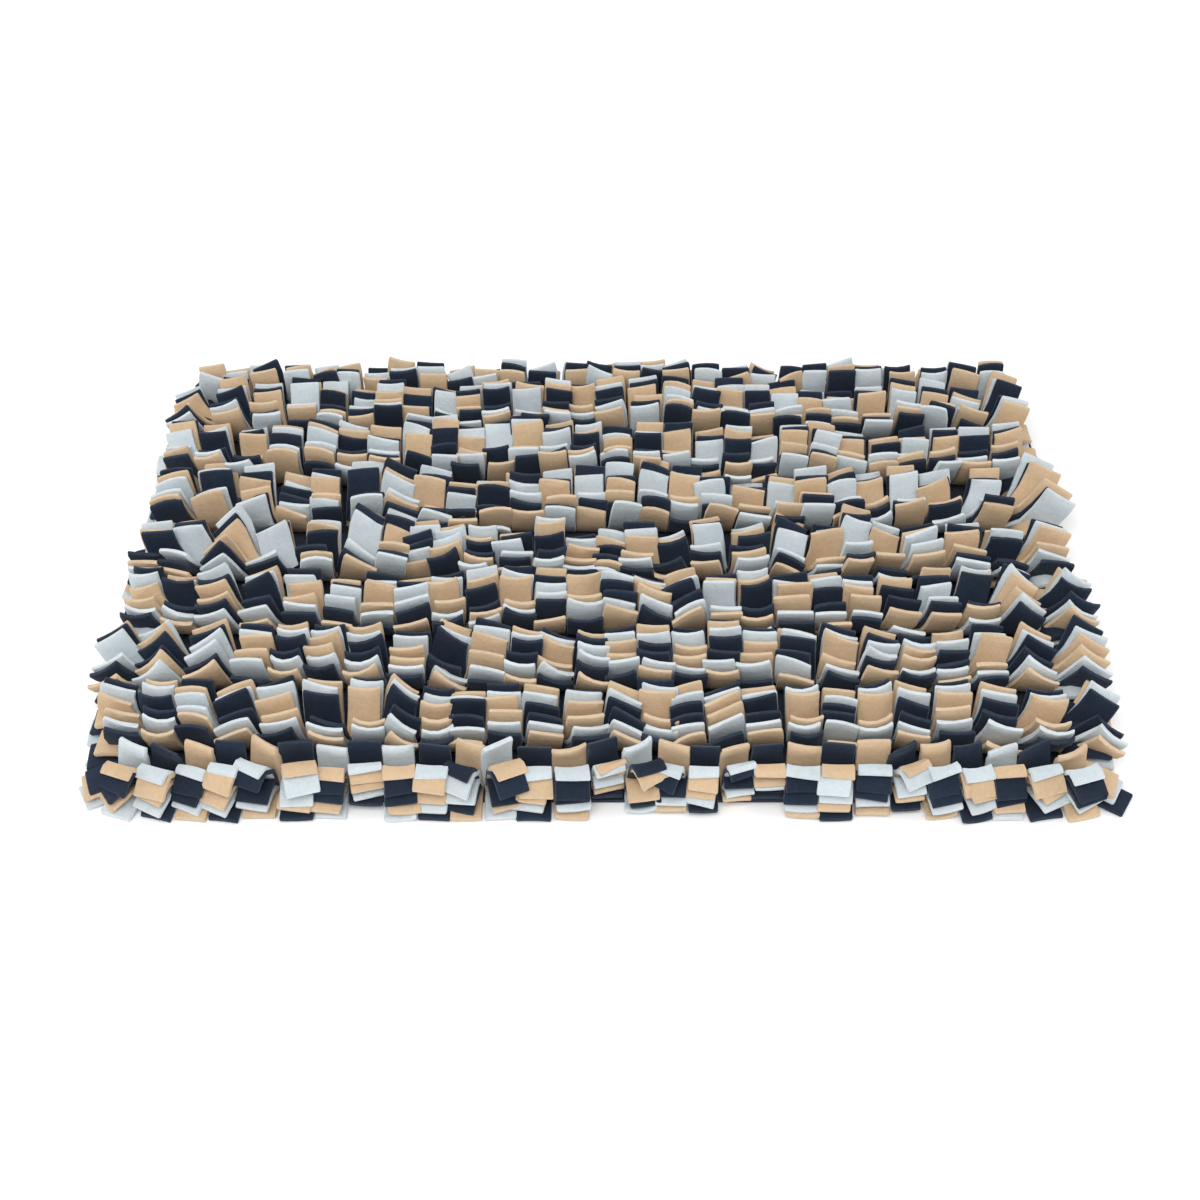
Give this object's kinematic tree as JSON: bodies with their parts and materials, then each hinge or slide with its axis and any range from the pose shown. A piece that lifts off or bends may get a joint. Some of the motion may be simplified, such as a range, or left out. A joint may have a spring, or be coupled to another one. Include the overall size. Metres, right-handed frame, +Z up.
{
  "type": "snuffle mat",
  "caption": "Rectangular pet snuffle mat: rows of nested fleece tabs sewn upright on a flat base cloth, with tabs fanned out over all four edges.",
  "frame": {"origin": "on the floor, under the middle of the mat", "axes": "+X along the sewn rows, +Y across the rows towards the back edge, +Z up"},
  "size_m": [0.7039, 0.5024, 0.0428],
  "materials": {
    "fleece_navy": "soft matte fleece, navy",
    "fleece_tan": "soft matte fleece, tan",
    "fleece_pale_blue": "soft matte fleece, pale blue",
    "base_cloth": "plain matte woven cloth, dark navy"
  },
  "bodies": {
    "root": {"base_cloth": "base_cloth", "tab_row_01": "fleece_navy", "tab_row_02": "fleece_tan", "tab_row_03": "fleece_pale_blue", "tab_row_04": "fleece_navy", "tab_row_05": "fleece_tan", "tab_row_06": "fleece_pale_blue", "tab_row_07": "fleece_navy", "tab_row_08": "fleece_tan", "tab_row_09": "fleece_pale_blue", "tab_row_10": "fleece_navy", "tab_row_11": "fleece_tan", "tab_row_12": "fleece_pale_blue", "tab_row_13": "fleece_navy", "tab_row_14": "fleece_tan", "tab_row_15": "fleece_pale_blue", "tab_row_16": "fleece_navy"}
  },
  "joints": []
}
